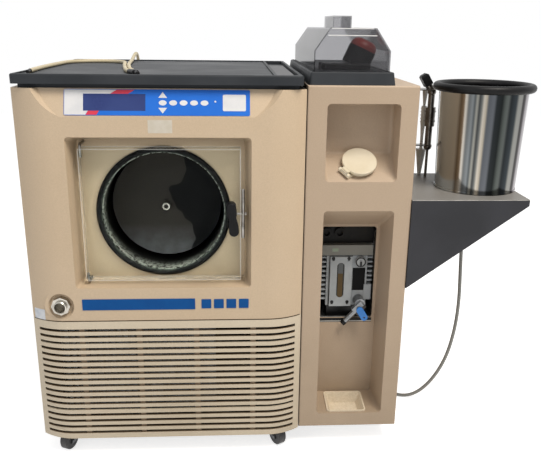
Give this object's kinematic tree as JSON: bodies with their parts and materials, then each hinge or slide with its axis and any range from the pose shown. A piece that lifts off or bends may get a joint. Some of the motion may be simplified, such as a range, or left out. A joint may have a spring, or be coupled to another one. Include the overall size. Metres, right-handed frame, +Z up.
{
  "type": "freeze dryer",
  "caption": "Console freeze dryer on casters with a clear chamber door, a side tower with a vacuum pump, a mist filter hood, and a shelf that carries a steel drum.",
  "frame": {"origin": "on the floor, under the middle of the machine's own box, its leads left out", "axes": "+X from the cabinet to the shelf, +Y from the front to the back, +Z up"},
  "size_m": [1.152, 0.76, 1.018],
  "materials": {
    "galvanised": "zinc coated sheet",
    "tan_paint": "textured enamel",
    "tower_paint": "textured enamel",
    "tan_moulding": "fine grained moulding",
    "cream_moulding": "fine grained moulding",
    "tower_moulding": "fine grained moulding",
    "panel_blue": "printed film",
    "display_tint": "tinted window",
    "white_print": "printed film",
    "red_print": "printed film",
    "strip_blue": "printed film",
    "plated": "plated",
    "charcoal": "textured moulding",
    "vessel_steel": "spun steel",
    "black_rubber": "satin",
    "dark_plate": "satin",
    "acrylic": "polished",
    "black_plastic": "satin",
    "black_paint": "gloss enamel",
    "fin_metal": "mill finish",
    "smoke_clear": "thin moulding",
    "red_clear": "clear moulding",
    "cream_plastic": "satin",
    "tray_clear": "thin moulding",
    "pump_metal": "cast and painted",
    "pump_paint": "cast and painted",
    "port_metal": "cast",
    "oil_glass": "oil behind a window",
    "pump_knob": "satin",
    "lever_blue": "moulded",
    "shelf_paint": "satin enamel",
    "drum_steel": "bright stainless",
    "milky_plastic": "translucent moulding",
    "zinc": "zinc plated",
    "wheel_rubber": "satin",
    "grey_lead": "matt sheath",
    "beige_lead": "matt sheath"
  },
  "bodies": {
    "cabinet": {"base_pan": "galvanised", "left_panel": "tan_paint", "right_panel": "tower_paint", "centre_panel": "galvanised", "rear_panel": "tan_paint", "front_moulding": "tan_moulding", "front_grille": "cream_moulding", "control_panel": "panel_blue", "display_window": "display_tint", "panel_white_print": "white_print", "panel_red_bars": "red_print", "name_strip": "strip_blue", "drain_port": "plated", "top_cover": "charcoal", "chamber_vessel": "vessel_steel", "chamber_gasket": "black_rubber", "baffle_plate": "dark_plate", "hinge_rods": "plated", "compressor": "black_paint", "condenser_block": "fin_metal", "tower_front": "tower_moulding", "tower_cover": "charcoal", "hood": "smoke_clear", "mist_filter": "black_plastic", "mist_filter_cap": "red_clear", "fill_ring": "cream_plastic", "drip_tray": "tray_clear", "pump_deck": "galvanised", "pump_body": "pump_metal", "pump_motor": "pump_paint", "pump_port_block": "port_metal", "sight_glass": "oil_glass", "drain_valve": "pump_metal", "shelf": "shelf_paint", "drum": "drum_steel", "drum_ring": "black_rubber", "manifold_pipe": "port_metal", "manifold_adaptor": "milky_plastic", "rear_forks": "zinc", "strain_reliefs": "black_plastic", "lead": "grey_lead", "lead_coil": "grey_lead", "lead_plug": "grey_lead", "probe_lead": "beige_lead", "sensor_lead": "beige_lead", "probe_ends": "black_rubber"},
    "door": {"door_plate": "acrylic", "latch_rod": "plated"},
    "latch": {"latch_knob": "black_plastic"},
    "filler_lid": {"fill_lid": "cream_plastic"},
    "ballast": {"ballast_knob": "pump_knob"},
    "drain_handle": {"drain_lever": "lever_blue"},
    "manifold_valve": {"valve_knob": "black_plastic"},
    "fan": {"fan_blades": "black_plastic"},
    "left_front_caster": {"left_front_fork": "zinc"},
    "right_front_caster": {"right_front_fork": "zinc"},
    "left_front_tread": {"left_front_wheel": "wheel_rubber"},
    "right_front_tread": {"right_front_wheel": "wheel_rubber"},
    "left_rear_tread": {"left_rear_wheel": "wheel_rubber"},
    "right_rear_tread": {"right_rear_wheel": "wheel_rubber"}
  },
  "joints": [
    {"name": "door_hinge", "type": "hinge", "parent": "cabinet", "child": "door", "pos_m": [-0.444, -0.2625, 0.594], "axis": [0, 0, -1], "range_deg": [0, 110]},
    {"name": "latch_turn", "type": "hinge", "parent": "door", "child": "latch", "pos_m": [-0.123, -0.2745, 0.599], "axis": [0, -1, 0], "range_deg": [0, 90]},
    {"name": "lid_hinge", "type": "hinge", "parent": "cabinet", "child": "filler_lid", "pos_m": [0.12354, -0.24158, 0.68632], "axis": [0.6157, -0.6326, -0.4699], "range_deg": [0, 100]},
    {"name": "ballast_turn", "type": "hinge", "parent": "cabinet", "child": "ballast", "pos_m": [0.188, -0.1485, 0.446], "axis": [0, -1, 0], "range_deg": [0, 120]},
    {"name": "drain_turn", "type": "hinge", "parent": "cabinet", "child": "drain_handle", "pos_m": [0.184, -0.1985, 0.336], "axis": [0, 1, 0], "range_deg": [0, 90]},
    {"name": "valve_turn", "type": "hinge", "parent": "cabinet", "child": "manifold_valve", "pos_m": [0.3685, -0.0125, 0.849], "axis": [-0.5225, 0, 0.8526], "range_deg": [0, 180]},
    {"name": "fan_spin", "type": "hinge", "parent": "cabinet", "child": "fan", "pos_m": [-0.346, -0.1805, 0.2025], "axis": [0, -1, 0], "continuous": true},
    {"name": "left_front_swivel", "type": "hinge", "parent": "cabinet", "child": "left_front_caster", "pos_m": [-0.514, -0.2185, 0.058], "axis": [0, 0, 1], "continuous": true},
    {"name": "left_front_roll", "type": "hinge", "parent": "left_front_caster", "child": "left_front_tread", "pos_m": [-0.52416, -0.24243, 0.025], "axis": [-0.9205, 0.3907, 0], "continuous": true},
    {"name": "left_rear_roll", "type": "hinge", "parent": "cabinet", "child": "left_rear_tread", "pos_m": [-0.514, 0.2755, 0.025], "axis": [1, 0, 0], "continuous": true},
    {"name": "right_front_swivel", "type": "hinge", "parent": "cabinet", "child": "right_front_caster", "pos_m": [-0.028, -0.2185, 0.058], "axis": [0, 0, 1], "continuous": true},
    {"name": "right_front_roll", "type": "hinge", "parent": "right_front_caster", "child": "right_front_tread", "pos_m": [-0.015, -0.24102, 0.025], "axis": [-0.866, -0.5, 0], "continuous": true},
    {"name": "right_rear_roll", "type": "hinge", "parent": "cabinet", "child": "right_rear_tread", "pos_m": [-0.028, 0.2755, 0.025], "axis": [1, 0, 0], "continuous": true}
  ]
}
